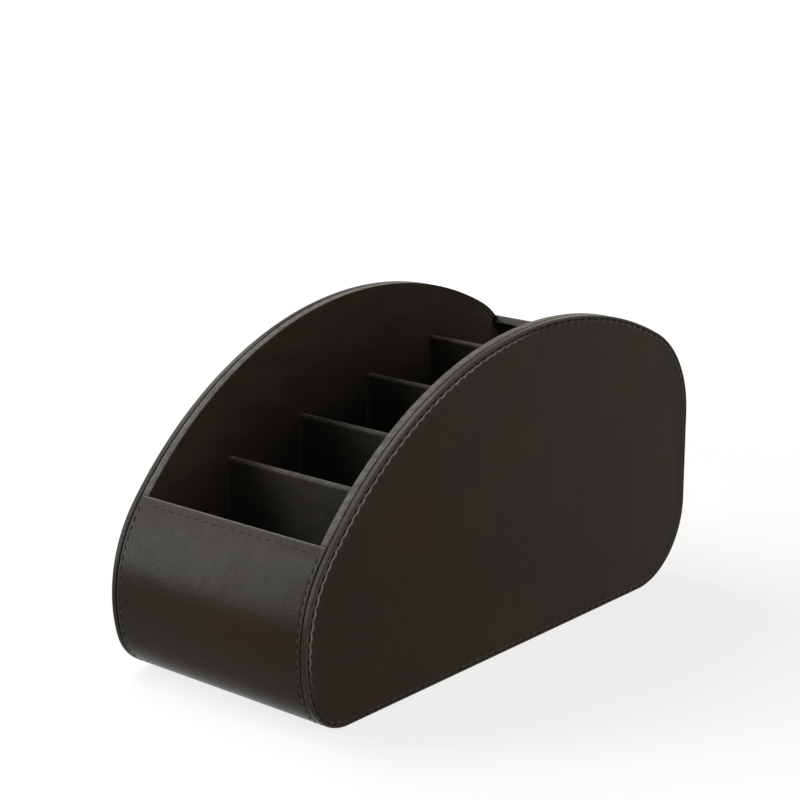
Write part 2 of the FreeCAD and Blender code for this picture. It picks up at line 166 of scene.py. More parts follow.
@dataclass(frozen=True)
class Straight:
    """A straight run of the side outline between two points in Y and Z."""

    start: Point
    end: Point
    steps: int = 0

    @property
    def length(self) -> float:
        """The straight's length."""
        return math.dist(self.start, self.end)

    def at(self, share: float) -> Sample:
        """The sample at a share of the straight."""
        start, end = on_side(self.start), on_side(self.end)
        return Sample(start.lerp(end, share), (end - start).normalized())

    def set_in(self, inset: float) -> "Straight":
        """The same straight further in."""
        ends = [self.at(share).place + self.at(0).inward * inset for share in (0, 1)]
        return Straight(*((end.y, end.z) for end in ends))

    def draw(self, bench: "Bench", count: int) -> None:
        """Draw the straight in even steps on from the selected vertex."""
        for _ in range(count):
            bench.push((on_side(self.end) - on_side(self.start)) / count)


@dataclass(frozen=True)
class SideOutline:
    """The tangent arcs that both side panels share, and the places of their layers."""

    length: float = 250.0 * MM
    height: float = 133.8 * MM
    nose_height: float = 31.7 * MM
    toe_radius: float = 21.4 * MM
    nose_radius: float = 60.1 * MM
    shoulder_drop: float = 59.6 * MM
    shoulder_radius: float = 45.4 * MM
    heel_radius: float = 34.5 * MM
    front_lip_angle: float = math.radians(3.8)
    back_lip_angle: float = math.radians(45.0)
    lift: float = 0.8 * MM
    seam_x: float = 49.2 * MM
    lining_x: float = 45.5 * MM
    leather: float = 0.9 * MM
    lining: float = 0.7 * MM

    @property
    def middle(self) -> Vector:
        """A place in the middle of the caddy."""
        return Vector((0, 0, self.height / 2))

    def crown(self, nose: Point, shoulder: Point) -> tuple[Point, float]:
        """Find the top arc, which holds the nose and shoulder and touches the height.

        Args:
            nose: The nose arc's centre.
            shoulder: The shoulder arc's centre.

        Returns:
            The top arc's centre and radius.
        """
        top = self.height + self.lift
        nose_low = top - nose[1] - self.nose_radius
        nose_high = top - nose[1] + self.nose_radius
        shoulder_low = top - shoulder[1] - self.shoulder_radius
        shoulder_high = top - shoulder[1] + self.shoulder_radius
        square = 1 / nose_low - 1 / shoulder_low
        single = -2 * (nose[0] / nose_low - shoulder[0] / shoulder_low)
        fixed = nose[0] ** 2 / nose_low - shoulder[0] ** 2 / shoulder_low
        fixed += nose_high - shoulder_high
        crown_y = -2 * fixed / (single + math.sqrt(single**2 - 4 * square * fixed))
        radius = (crown_y - nose[0]) ** 2 / (2 * nose_low) + nose_high / 2
        return (crown_y, top - radius), radius

    def pieces(self) -> dict[str, Arc | Straight]:
        """Work out the outline's arcs and straights by name.

        Returns:
            The pieces, counter-clockwise as seen from the right, from the base on.
        """
        back = self.length / 2
        rise = self.nose_height - self.toe_radius
        reach = math.sqrt((self.nose_radius - self.toe_radius) ** 2 - rise**2)
        nose = (self.nose_radius - back, self.nose_height + self.lift)
        toe = (nose[0] - reach, self.toe_radius + self.lift)
        heel = (back - self.heel_radius, self.heel_radius + self.lift)
        shoulder = (back - self.shoulder_radius,
                    self.height - self.shoulder_drop + self.lift)
        crown, crown_radius = self.crown(nose, shoulder)
        to_shoulder = bearing(crown, shoulder)
        to_nose = bearing(crown, nose)
        to_toe = bearing(nose, toe)
        down = math.radians(270)
        return {
            "base": Straight((toe[0], self.lift), (heel[0], self.lift)),
            "heel": Arc(heel, self.heel_radius, down, math.tau),
            "back": Straight((back, heel[1]), (back, shoulder[1])),
            "shoulder": Arc(shoulder, self.shoulder_radius, 0.0, to_shoulder),
            "crown": Arc(crown, crown_radius, to_shoulder, to_nose),
            "nose": Arc(nose, self.nose_radius, to_nose, to_toe),
            "toe": Arc(toe, self.toe_radius, to_toe, down),
        }

    def front_lip(self) -> float:
        """Find the front lip on the crown.

        Returns:
            Its angle about the crown's centre.
        """
        pieces = self.pieces()
        crown, nose = pieces["crown"], pieces["nose"]
        slope = bearing(crown.centre, nose.centre) - self.front_lip_angle
        along = Vector((math.cos(slope), math.sin(slope)))
        offset = Vector(nose.centre) - Vector(crown.centre)
        toward = offset.dot(along)
        reach = math.sqrt(toward**2 - offset.length_squared + crown.radius**2) - toward
        return bearing(crown.centre, tuple(Vector(nose.centre) + reach * along))

    def loop(self) -> Run:
        """The whole closed outline."""
        return list(self.pieces().values())

    def shell_run(self, short: float = 0.0) -> Run:
        """Give the bent shell's run, from the front lip round the base to the back lip.

        Args:
            short: The length to stop short of each lip.

        Returns:
            The run's pieces in order.
        """
        pieces = self.pieces()
        crown, shoulder = pieces["crown"], pieces["shoulder"]
        start = self.front_lip() + short / crown.radius
        end = self.back_lip_angle - short / shoulder.radius
        between = [pieces[name] for name in ("nose", "toe", "base", "heel", "back")]
        return [replace(crown, first=start), *between, replace(shoulder, last=end)]

    def top_run(self) -> Run:
        """The open top's run, from the back lip over the crown to the front lip."""
        pieces = self.pieces()
        return [replace(pieces["shoulder"], first=self.back_lip_angle),
                replace(pieces["crown"], last=self.front_lip())]


def bearing(start: Point, end: Point) -> float:
    """The angle from one point to another, between 0 and a full turn."""
    return math.atan2(end[1] - start[1], end[0] - start[0]) % math.tau


def on_side(point: Iterable[float]) -> Vector:
    """A point in Y and Z as a place."""
    return Vector((0, *point))


def steps_in(piece: Arc | Straight, spacing: float, group: int) -> int:
    """The even steps in a piece: its own, or a multiple of a group of steps."""
    return piece.steps or group * max(1, round(piece.length / (spacing * group)))


def walk(run: Run, spacing: float, group: int = 1) -> list[Sample]:
    """Give the points of a run that its traced mesh has.

    Args:
        run: The pieces in order.
        spacing: The distance between points, which is rounded to fit each piece.
        group: The number that each piece's steps are a multiple of.

    Returns:
        The points, the run's own start and end among them.
    """
    samples = []
    for piece in run:
        count = steps_in(piece, spacing, group)
        samples += [piece.at(step / count) for step in range(count)]
    return [*samples, run[-1].at(1)]


# Modelling at the bench


class Bench:
    """One mesh object while it is modelled with operators, left in edit mode."""

    def __init__(self, piece: Piece) -> None:
        """Take a new primitive into edit mode."""
        self.piece = piece
        bpy.ops.object.mode_set(mode="EDIT")

    @classmethod
    def begin(cls, name: str, start: Vector) -> "Bench":
        """Begin a piece with a single vertex.

        Args:
            name: The piece's name.
            start: The vertex's place.

        Returns:
            The bench with the piece.
        """
        bpy.ops.object.select_all(action="DESELECT")
        bpy.ops.mesh.primitive_plane_add(size=MM, location=start)
        bpy.ops.object.transform_apply(location=True, rotation=True, scale=True)
        bench = cls(bpy.context.active_object)
        bench.piece.name = name
        bpy.ops.mesh.select_mode(type="VERT")
        bench.pick_all()
        bpy.ops.mesh.merge(type="COLLAPSE")
        return bench

    def shape(self) -> bmesh.types.BMesh:
        """The mesh as edit mode holds it."""
        return bmesh.from_edit_mesh(self.piece.data)

    def pick_all(self) -> None:
        """Select the whole mesh."""
        bpy.ops.mesh.select_all(action="SELECT")

    def pick(self, chosen: Callable[..., bool], kind: Element = Element.VERTEX) -> None:
        """Select the elements that pass a test.

        Args:
            chosen: Tells from the places of an element's vertices whether it is picked.
            kind: What is picked. With vertices come the edges and faces between them.
        """
        bpy.ops.mesh.select_all(action="DESELECT")
        bpy.ops.mesh.select_mode(type=kind.value)
        shape = self.shape()
        for element in getattr(shape, f"{kind.value.lower()}s"):
            vertices = [element] if kind is Element.VERTEX else element.verts
            if chosen(*(vertex.co for vertex in vertices)):
                element.select_set(True)
        if kind is Element.VERTEX:
            shape.select_flush_mode()
        bmesh.update_edit_mesh(self.piece.data)

    def push(self, way: Vector) -> None:
        """Extrude what is selected."""
        bpy.ops.mesh.extrude_region_move(TRANSFORM_OT_translate={"value": way})

    def move(self, way: Vector) -> None:
        """Move what is selected."""
        bpy.ops.transform.translate(value=way)

    def sink(self, depth: float) -> None:
        """Move what is selected in along its normals."""
        bpy.ops.transform.shrink_fatten(value=-depth)

    def inset(self, inward: float, outward: float = 0.0) -> None:
        """Inset the selected face, and lift what is inside."""
        bpy.ops.mesh.inset(thickness=inward, depth=outward, use_even_offset=True)

    def bevel(self, size: float, segments: int, affect: str = "EDGES") -> None:
        """Round the selected edges or vertices."""
        bpy.ops.mesh.bevel(offset=size, segments=segments, affect=affect)

    def turn(self, steps: int, angle: float, centre: Point) -> None:
        """Spin what is selected about an axis across the caddy.

        Args:
            steps: The number of steps.
            angle: The turn, counter-clockwise as seen from the right.
            centre: The axis's place in Y and Z.
        """
        bpy.ops.mesh.spin(steps=steps, angle=-angle, center=(0, *centre), axis=ACROSS)

    def trace(self, run: Run, spacing: float, group: int = 1) -> None:
        """Draw a run as a chain of edges on from the selected vertex.

        Args:
            run: The pieces in order.
            spacing: The distance between vertices.
            group: The number that each piece's steps are a multiple of.
        """
        for piece in run:
            piece.draw(self, steps_in(piece, spacing, group))

    def sweep(self, columns: list[float]) -> None:
        """Push a chain of edges across the caddy.

        Args:
            columns: The X of its start and of each stop.
        """
        self.pick_all()
        for here, there in zip(columns, columns[1:]):
            self.push(ACROSS * (there - here))

    def sink_edges(self, edge: Iterable[Point], outer: float) -> None:
        """Sink the columns along both edges of a swept sheet.

        Args:
            edge: How far in each column lies, and how deep it sinks, in millimetres.
            outer: The outermost column's X.
        """
        for inset, depth in edge:
            column = outer - inset * MM
            if depth:
                self.pick(lambda place: abs(abs(place.x) - column) < ON_LINE)
                self.sink(depth * MM)

    def face_out(self, middle: Vector | None = None, sense: int = 1) -> None:
        """Merge the vertices that share a place, and turn the faces outward.

        Args:
            middle: For an open sheet, a place behind it.
            sense: -1 where the sheet faces that place.
        """
        bpy.ops.mesh.select_mode(type="VERT")
        self.weld()
        bpy.ops.mesh.normals_make_consistent(inside=False)
        faces = self.shape().faces
        faces.ensure_lookup_table()
        centre, normal = faces[0].calc_center_median(), faces[0].normal
        if middle is not None and normal.dot(centre - middle) * sense < 0:
            bpy.ops.mesh.flip_normals()

    def weld(self) -> None:
        """Merge the vertices that share a place."""
        self.pick_all()
        bpy.ops.mesh.remove_doubles(threshold=TINY)

    def done(self, smooth: float = 40.0) -> Piece:
        """Leave edit mode and shade the piece smooth.

        Args:
            smooth: The sharpest bend that is smoothed, in degrees.

        Returns:
            The piece.
        """
        bpy.ops.mesh.select_mode(type="VERT")
        bpy.ops.object.mode_set(mode="OBJECT")
        bpy.ops.object.shade_smooth_by_angle(angle=math.radians(smooth))
        return self.piece


def activate(piece: Piece) -> None:
    """Select one piece alone and make it the active one.

    Args:
        piece: The piece.
    """
    bpy.ops.object.select_all(action="DESELECT")
    piece.select_set(True)
    bpy.context.view_layer.objects.active = piece


def thicken(piece: Piece, thickness: float, share: Level | None = None) -> None:
    """Give a sheet its thickness, inward from its faces.

    Args:
        piece: The sheet.
        thickness: Its full thickness.
        share: Gives the share of the thickness from a vertex's place.
    """
    solidify = piece.modifiers.new("thickness", "SOLIDIFY")
    solidify.thickness = thickness
    solidify.offset = -1
    if share:
        group = piece.vertex_groups.new(name="thickness")
        for vertex in piece.data.vertices:
            group.add([vertex.index], share(vertex.co), "REPLACE")
        solidify.vertex_group = group.name
    activate(piece)
    bpy.ops.object.modifier_apply(modifier=solidify.name)


def paint(piece: Piece, name: str, level: Level) -> None:
    """Store a value from 0 to 1 on each vertex.

    Args:
        piece: The piece.
        name: The value's name, which its material reads.
        level: Gives the value from a vertex's place.
    """
    layer = piece.data.attributes.new(name, "FLOAT", "POINT")
    for vertex in piece.data.vertices:
        layer.data[vertex.index].value = level(vertex.co)


def ramp(given: float, start: float, end: float) -> float:
    """Rise smoothly from 0 to 1 between two values."""
    share = min(1.0, max(0.0, (given - start) / (end - start)))
    return share * share * (3 - 2 * share)


def bell(given: float, middle: float, reach: float) -> float:
    """Rise smoothly to 1 at a middle value, from 0 a reach away on both sides."""
    return 1 - ramp(abs(given - middle), 0.0, reach)


class Nearness:
    """Finds how far in from a traced outline a vertex lies, and by which sample."""

    def __init__(self, samples: list[Sample]) -> None:
        """Index the samples of an outline.

        Args:
            samples: The samples in order.
        """
        self.tree = KDTree(len(samples))
        for index, sample in enumerate(samples):
            self.tree.insert(sample.place, index)
        self.tree.balance()

    def __call__(self, place: Vector) -> tuple[int, float]:
        """The nearest sample's number and its distance, as seen from the side."""
        _, number, distance = self.tree.find(on_side(place.yz))
        return number, distance


# Finishes


class Graph:
    """The nodes of a material or of the sky, with its main shader."""

    def __init__(self, owner: bpy.types.ID, shader: str = "Principled BSDF") -> None:
        """Start on the nodes of a new material or world.

        Args:
            owner: The material or world.
            shader: Its main shader's name.
        """
        owner.use_nodes = True
        self.owner = owner
        self.tree = owner.node_tree
        self.shader = self.tree.nodes[shader]

    @cached_property
    def coords(self) -> bpy.types.NodeOutputs:
        """The ways to place a pattern, such as by the object or by its UV map."""
        return self.add("TexCoord")

    def add(self, kind: str, inputs: dict | None = None,
            **settings: str) -> bpy.types.NodeOutputs:
        """Add a node.

        Args:
            kind: The node's type, without the words Shader and Node.
            inputs: Sockets by name or number, each with a constant or another socket.
            settings: The node's own properties.

        Returns:
            The node's outputs.
        """
        node = self.tree.nodes.new(f"ShaderNode{kind}")
        for name, setting in settings.items():
            setattr(node, name, setting)
        for name, given in (inputs or {}).items():
            self.feed(node.inputs[name], given)
        return node.outputs

    def feed(self, socket: Socket, given: Socket | float | Colour) -> None:
        """Link a socket to another, or set its constant.

        Args:
            socket: The socket that is fed.
            given: The other socket, or the constant.
        """
        if isinstance(given, Socket):
            self.tree.links.new(given, socket)
        else:
            socket.default_value = given

    def work(self, operation: str, first: Socket, second: Socket) -> Socket:
        """Work a sum, a product or a maximum of two values."""
        return self.add("Math", {0: first, 1: second}, operation=operation)[0]

    def noise(self, size: float, detail: float = 2.0,
              stretch: tuple[float, float, float] | None = None) -> Socket:
        """Make fractal noise whose features have about a given size.

        Args:
            size: The size of the features.
            detail: The number of finer layers.
            stretch: How many times longer the features are along X, Y and Z.

        Returns:
            The noise's value, around a half.
        """
        place = self.coords["Object"]
        if stretch:
            scale = tuple(1 / share for share in stretch)
            place = self.add("Mapping", {"Vector": place, "Scale": scale})[0]
        inputs = {"Vector": place, "Scale": 1 / size, "Detail": detail}
        return self.add("TexNoise", inputs)["Fac"]

    def cells(self, size: float, wander: float) -> Socket:
        """Make rounded cells of about a given size, for leather grain or chips.

        Args:
            size: The size of the cells.
            wander: How far noise moves their edges.

        Returns:
            The distance from each cell's middle, as a share of its size.
        """
        place, drift_size = self.coords["Object"], 2.5 * size
        drift = self.add("TexNoise", {"Vector": place, "Scale": 1 / drift_size})
        shift = self.add("VectorMath", {0: drift["Color"], "Scale": wander},
                         operation="SCALE")
        moved = self.add("VectorMath", {0: place, 1: shift[0]})[0]
        return self.add("TexVoronoi", {"Vector": moved, "Scale": 1 / size},
                        feature="SMOOTH_F1")["Distance"]

    def span(self, given: Socket, start: float = 0.0, end: float = 1.0,
             low: float = 0.0, high: float = 1.0) -> Socket:
        """Map a value from one range to another, held inside it.

        Args:
            given: The value.
            start: The low end of the value's range.
            end: The high end of the value's range.
            low: What start becomes.
            high: What end becomes.

        Returns:
            The mapped value.
        """
        return self.add("MapRange", {"Value": given, "From Min": start, "From Max": end,
                                     "To Min": low, "To Max": high})[0]

    def blend(self, share: Socket, first: Socket | Colour,
              second: Socket | Colour) -> Socket:
        """Mix two colours, with their sockets by the numbers that colours have."""
        return self.add("Mix", {0: share, 6: first, 7: second}, data_type="RGBA")[2]

    def painted(self, name: str) -> Socket:
        """Read a value that was painted on the mesh."""
        return self.add("Attribute", attribute_name=name)["Fac"]

    def rub(self, colour: Socket, worn: Colour, size: float, detail: float) -> Socket:
        """Let a pale colour show in patches where the mesh carries rubbing and painted
        highlight.

        Args:
            colour: The colour underneath.
            worn: The pale colour, for rubbing and painted highlight.
            size: The size of the patches.
            detail: The number of finer layers in them.

        Returns:
            The colour with its rubbing and painted highlight.
        """
        patches = self.span(self.noise(size, detail), start=0.35, end=0.6, low=0.5)
        return self.blend(self.work("MULTIPLY", self.painted("wear"), patches), colour,
                          worn)

    def relief(self, height: Socket, depth: float, strength: float = 1.0,
               under: Socket | None = None) -> Socket:
        """Turn a height into a bumpy normal.

        Args:
            height: The height, from 0 to 1.
            depth: What a height of 1 stands for.
            strength: The share of the bump that shows.
            under: A bumpy normal that this one lies on.

        Returns:
            The normal.
        """
        inputs = {"Height": height, "Distance": depth, "Strength": strength}
        if under:
            inputs["Normal"] = under
        return self.add("Bump", inputs)[0]

    def seen(self) -> Socket:
        """Tell camera, glossy and transmission rays from the rest.

        Returns:
            A value of 1 for those rays, and 0 for the rest.
        """
        path = self.add("LightPath")
        mirrored = self.work("MAXIMUM", path["Is Glossy Ray"],
                             path["Is Transmission Ray"])
        return self.work("MAXIMUM", path["Is Camera Ray"], mirrored)

    def finish(self, **sockets: Socket | float | Colour) -> bpy.types.ID:
        """Feed the main shader.

        Args:
            sockets: What each socket gets, with spaces as underscores.

        Returns:
            The material or world.
        """
        for name, given in sockets.items():
            self.feed(self.shader.inputs[name.replace("_", " ")], given)
        return self.owner


def shade(code: str) -> Colour:
    """The linear light of a colour's six hexadecimal digits, with full opacity."""
    written = Color([byte / 255 for byte in bytes.fromhex(code)])
    return (*written.from_srgb_to_scene_linear(), 1.0)


@dataclass(frozen=True)
class LeatherFinish:
    """Dark leathercloth with a fine pebbled grain and a soft low gloss."""

    name: str = "leathercloth"
    colour: str = "271e12"
    warm: str = "2d2213"
    # A pale colour for rubbing on the roll, and for painted highlights on the crests,
    # lips and stitch rows.
    worn: str = "a3a8a8"
    # A dark colour for the grain's valleys, and for painted shade in the groove and at
    # the seam.
    deep: str = "0d0b08"
    pebble: float = 0.75 * MM
    pore: float = 0.16 * MM
    patch: float = 34 * MM
    wave: float = 22 * MM
    dull_patch: float = 9 * MM
    roughness: tuple[float, float] = (0.22, 0.31)

    def material(self) -> Material:
        """Make the finish.

        Returns:
            The material.
        """
        graph = Graph(bpy.data.materials.new(self.name))
        pebbles = graph.cells(self.pebble, wander=0.3 * MM)
        patches = graph.span(graph.noise(self.patch, detail=3.0), start=0.38, end=0.66)
        colour = graph.blend(patches, shade(self.colour), shade(self.warm))
        valleys = graph.span(pebbles, start=0.35, end=0.75, high=0.35)
        colour = graph.blend(valleys, colour, shade(self.deep))
        # Painted highlight: the crests, lips and stitch rows are lightened in the colour,
        # with some rubbing on the roll.
        colour = graph.rub(colour, shade(self.worn), size=1.3 * MM, detail=4.0)
        # Painted shade: the groove and the seam are darkened in the colour.
        colour = graph.blend(graph.painted("groove"), colour, shade(self.deep))
        low, high = self.roughness
        dulled = graph.work("ADD", pebbles, graph.noise(self.dull_patch))
        roughness = graph.span(dulled, start=0.5, end=1.2, low=low, high=high)
        waves = graph.relief(graph.noise(self.wave, detail=1.0), depth=0.5 * MM,
                             strength=0.35)
        grain = graph.relief(graph.span(pebbles, low=1.0, high=0.0), depth=0.035 * MM,
                             under=waves)
        fine = graph.relief(graph.noise(self.pore), depth=0.008 * MM, under=grain)
        return graph.finish(Base_Color=colour, Roughness=roughness, Normal=fine,
                            Specular_IOR_Level=0.07)


@dataclass(frozen=True)
class LiningFinish:
    """Brushed suede cloth, whose nap catches light at a slant."""

    name: str = "suede_lining"
    colour: str = "26221c"
    brushed: str = "312c25"
    # A pale colour for painted highlight on the top edges that face the light, with some
    # rubbing.
    rubbed: str = "6f6d68"
    deep: str = "1b1916"
    sheen: str = "b9b0a4"
    stroke: float = 11 * MM
    clump: float = 1.4 * MM
    nap: float = 0.22 * MM

    def material(self) -> Material:
        """Make the finish.

        Returns:
            The material.
        """
        graph = Graph(bpy.data.materials.new(self.name))
        strokes = graph.noise(self.stroke, detail=4.0, stretch=(1, 2.2, 0.8))
        colour = graph.blend(graph.span(strokes, start=0.35, end=0.7),
                             shade(self.colour), shade(self.brushed))
        # Painted highlight with some rubbing: the top edges of the walls and dividers are
        # lightened in the colour.
        colour = graph.rub(colour, shade(self.rubbed), size=3 * MM, detail=3.0)
        fibres = graph.noise(self.nap, detail=4.0)
        colour = graph.blend(graph.span(fibres, start=0.55, end=0.75, high=0.45), colour,
                             shade(self.deep))
        lay = graph.relief(graph.noise(self.clump, detail=3.0), depth=0.08 * MM,
                           strength=0.6)
        pile = graph.relief(fibres, depth=0.06 * MM, strength=0.9, under=lay)
        return graph.finish(Base_Color=colour, Roughness=0.95, Normal=pile,
                            Specular_IOR_Level=0.1, Sheen_Weight=0.45,
                            Sheen_Roughness=0.45, Sheen_Tint=shade(self.sheen))


@dataclass(frozen=True)
class ThreadFinish:
    """Twisted black sewing thread, along each stitch's own UV map."""

    name: str = "sewing_thread"
    colour: str = "0b0a09"
    lit: str = "1a1815"
    twists: float = 7.0
    twist_angle: float = math.radians(38)
    fuzz: float = 0.08 * MM

    def material(self) -> Material:
        """Make the finish.

        Returns:
            The material.
        """
        graph = Graph(bpy.data.materials.new(self.name))
        slant = graph.add("Mapping", {
            "Vector": graph.coords["UV"], "Rotation": (0, 0, self.twist_angle),
            "Scale": (2.0, self.twists, 1)})[0]
        twist = graph.add("TexWave",
                          {"Vector": slant, "Scale": 0.6, "Distortion": 0.4})["Fac"]
        colour = graph.blend(twist, shade(self.colour), shade(self.lit))
        fuzz = graph.relief(graph.noise(self.fuzz), depth=0.01 * MM, strength=0.6)
        normal = graph.relief(twist, depth=0.05 * MM, strength=0.8, under=fuzz)
        return graph.finish(Base_Color=colour, Roughness=0.6, Normal=normal,
                            Specular_IOR_Level=0.1, Sheen_Weight=0.1)


@dataclass(frozen=True)
class FeltFinish:
    """Black pressed felt with tangled fibres."""

    name: str = "pressed_felt"
    colour: str = "1b1a19"
    fleck: str = "37342f"
    fibre: float = 0.5 * MM
    cross_fibre: float = 0.4 * MM
    clump: float = 4 * MM

    def material(self) -> Material:
        """Make the finish.

        Returns:
            The material.
        """
        graph = Graph(bpy.data.materials.new(self.name))
        tangle = graph.noise(self.fibre, detail=5.0, stretch=(3, 1, 1))
        cross = graph.noise(self.cross_fibre, detail=5.0, stretch=(1, 3, 1))
        fibres = graph.work("ADD", tangle, cross)
        colour = graph.blend(graph.span(fibres, start=0.9, end=1.25), shade(self.colour),
                             shade(self.fleck))
        clumps = graph.relief(graph.noise(self.clump), depth=0.25 * MM, strength=0.5)
        normal = graph.relief(fibres, depth=0.12 * MM, strength=0.8, under=clumps)
        return graph.finish(Base_Color=colour, Roughness=1.0, Normal=normal,
                            Specular_IOR_Level=0.05, Sheen_Weight=0.3,
                            Sheen_Roughness=0.6)


@dataclass(frozen=True)
class BoardFinish:
    """Raw fibreboard, pressed from fine brown chips."""

    name: str = "fibreboard"
    colour: str = "7b6146"
    chip: str = "a0835f"
    bark: str = "4d3b29"
    chip_size: float = 1.8 * MM
    bark_size: float = 0.7 * MM
    grit: float = 0.3 * MM

    def material(self) -> Material:
        """Make the finish.

        Returns:
            The material.
        """
        graph = Graph(bpy.data.materials.new(self.name))
        chips = graph.cells(self.chip_size, wander=1.2 * MM)
        colour = graph.blend(graph.span(chips, start=0.25, end=0.7), shade(self.colour),
                             shade(self.chip))
        bark = graph.noise(self.bark_size, detail=5.0, stretch=(1, 2, 1))
        colour = graph.blend(graph.span(bark, start=0.6, end=0.72), colour,
                             shade(self.bark))
        rough = graph.work("ADD", chips, graph.noise(self.grit, detail=4.0))
        normal = graph.relief(rough, depth=0.05 * MM, strength=0.7)
        roughness = graph.span(chips, low=0.75, high=0.95)
        return graph.finish(Base_Color=colour, Roughness=roughness, Normal=normal,
                            Specular_IOR_Level=0.2)


@dataclass
class Finishes:
    """Every material of the caddy, each made once."""

    leather: Material = field(default_factory=LeatherFinish().material)
    lining: Material = field(default_factory=LiningFinish().material)
    thread: Material = field(default_factory=ThreadFinish().material)
    felt: Material = field(default_factory=FeltFinish().material)
    board: Material = field(default_factory=BoardFinish().material)


def cover(piece: Piece, finish: Material) -> None:
    """Give a piece its material, and log its name and size.

    Args:
        piece: The piece.
        finish: Its material.
    """
    piece.data.materials.clear()
    piece.data.materials.append(finish)
    size = " x ".join(f"{side / MM:.1f}" for side in piece.dimensions)
    log.info("%s: %s mm, %d faces", piece.name, size, len(piece.data.polygons))


def dress(piece: Piece, finish: Material,
          stands_for: Iterable[str] = ()) -> None:
    """Give a finished piece its material and tie it to the frame.

    Args:
        piece: The piece.
        finish: Its material.
        stands_for: The nodes that the piece is shown instead of.
    """
    cover(piece, finish)
    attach(piece, "root")
    if stands_for:
        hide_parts(*stands_for)


def dress_both(right: Piece, finish: Material, node: str) -> None:
    """Mirror a right-hand piece for the left, with its own mesh, and dress both.

    Args:
        right: The piece on the right.
        finish: Their material.
        node: The name of the two nodes that they stand for, without the side.
    """
    activate(right)
    bpy.ops.object.duplicate(linked=False)
    left = bpy.context.active_object
    left.name = right.name.replace(Side.RIGHT.word, Side.LEFT.word)
    left.scale = (Side.LEFT.value, 1, 1)
    bpy.ops.object.transform_apply(location=True, rotation=True, scale=True)
    bpy.ops.object.mode_set(mode="EDIT")
    bpy.ops.mesh.select_all(action="SELECT")
    bpy.ops.mesh.normals_make_consistent(inside=False)
    bpy.ops.object.mode_set(mode="OBJECT")
    for piece, side in ((right, Side.RIGHT), (left, Side.LEFT)):
        dress(piece, finish, [f"{node}_{side.word}"])


# Stitching


@dataclass
class Thread:
    """Sewing thread, with one stitch modelled and copied along each seam."""

    finish: Material
    radius: float = 0.26 * MM
    length: float = 3.3 * MM
    sides: int = 8
    rings: int = 5
    dip: float = 0.22 * MM
    taper: float = 0.75
    slant: float = math.radians(5.0)
    share: float = 0.6

    def model(self) -> Piece:
        """Model the stitch along Z, with its outer side toward X and its ends sunk.

        Returns:
            The stitch.
        """
        bpy.ops.object.select_all(action="DESELECT")
        bpy.ops.mesh.primitive_cylinder_add(vertices=self.sides, radius=self.radius,
                                            depth=self.length)
        bench = Bench(bpy.context.active_object)
        bench.pick(lambda start, end: abs(start.z - end.z) > self.radius, Element.EDGE)
        bpy.ops.mesh.subdivide(number_cuts=self.rings)
        for ring in range(self.rings + 2):
            level = (ring / (self.rings + 1) - 0.5) * self.length
            bench.pick(lambda place: abs(place.z - level) < self.radius / 4)
            out = abs(level) / (self.length / 2)
            girth = math.sqrt(1 - self.taper * out**4)
            bpy.ops.transform.resize(value=(girth, girth, 1),
                                     center_override=(0, 0, level))
            bench.move(ACROSS * -self.dip * out**3)
        return bench.done(50.0)

    def sew(self, name: str, holes: list[Vector], outward: list[Vector]) -> None:
        """Lay copies of the stitch from hole to hole as one piece, and dress it.

        Args:
            name: The row's name.
            holes: The needle holes in order.
            outward: The way out from the leather at each.
        """
        model = self.model()
        bpy.ops.object.select_all(action="DESELECT")
        for start, end, out in zip(holes, holes[1:], outward):
            along = (end - start).normalized()
            across = along.cross(out).normalized()
            turn = Matrix((out, across, along)).transposed().to_4x4()
            times = (end - start).length * self.share / self.length
            stretch = Matrix.Scale(times, 4, (0, 0, 1))
            slant = Matrix.Rotation(self.slant, 4, "X")
            mesh = model.data.copy()
            mesh.transform(Matrix.Translation((start + end) / 2) @ turn @ slant @ stretch)
            stitch = bpy.data.objects.new(name, mesh)
            bpy.context.scene.collection.objects.link(stitch)
            stitch.select_set(True)
            bpy.context.view_layer.objects.active = stitch
        bpy.ops.object.join()
        row = bpy.context.active_object
        row.name = name
        bpy.data.objects.remove(model)
        dress(row, self.finish)


# The caddy's soft pieces


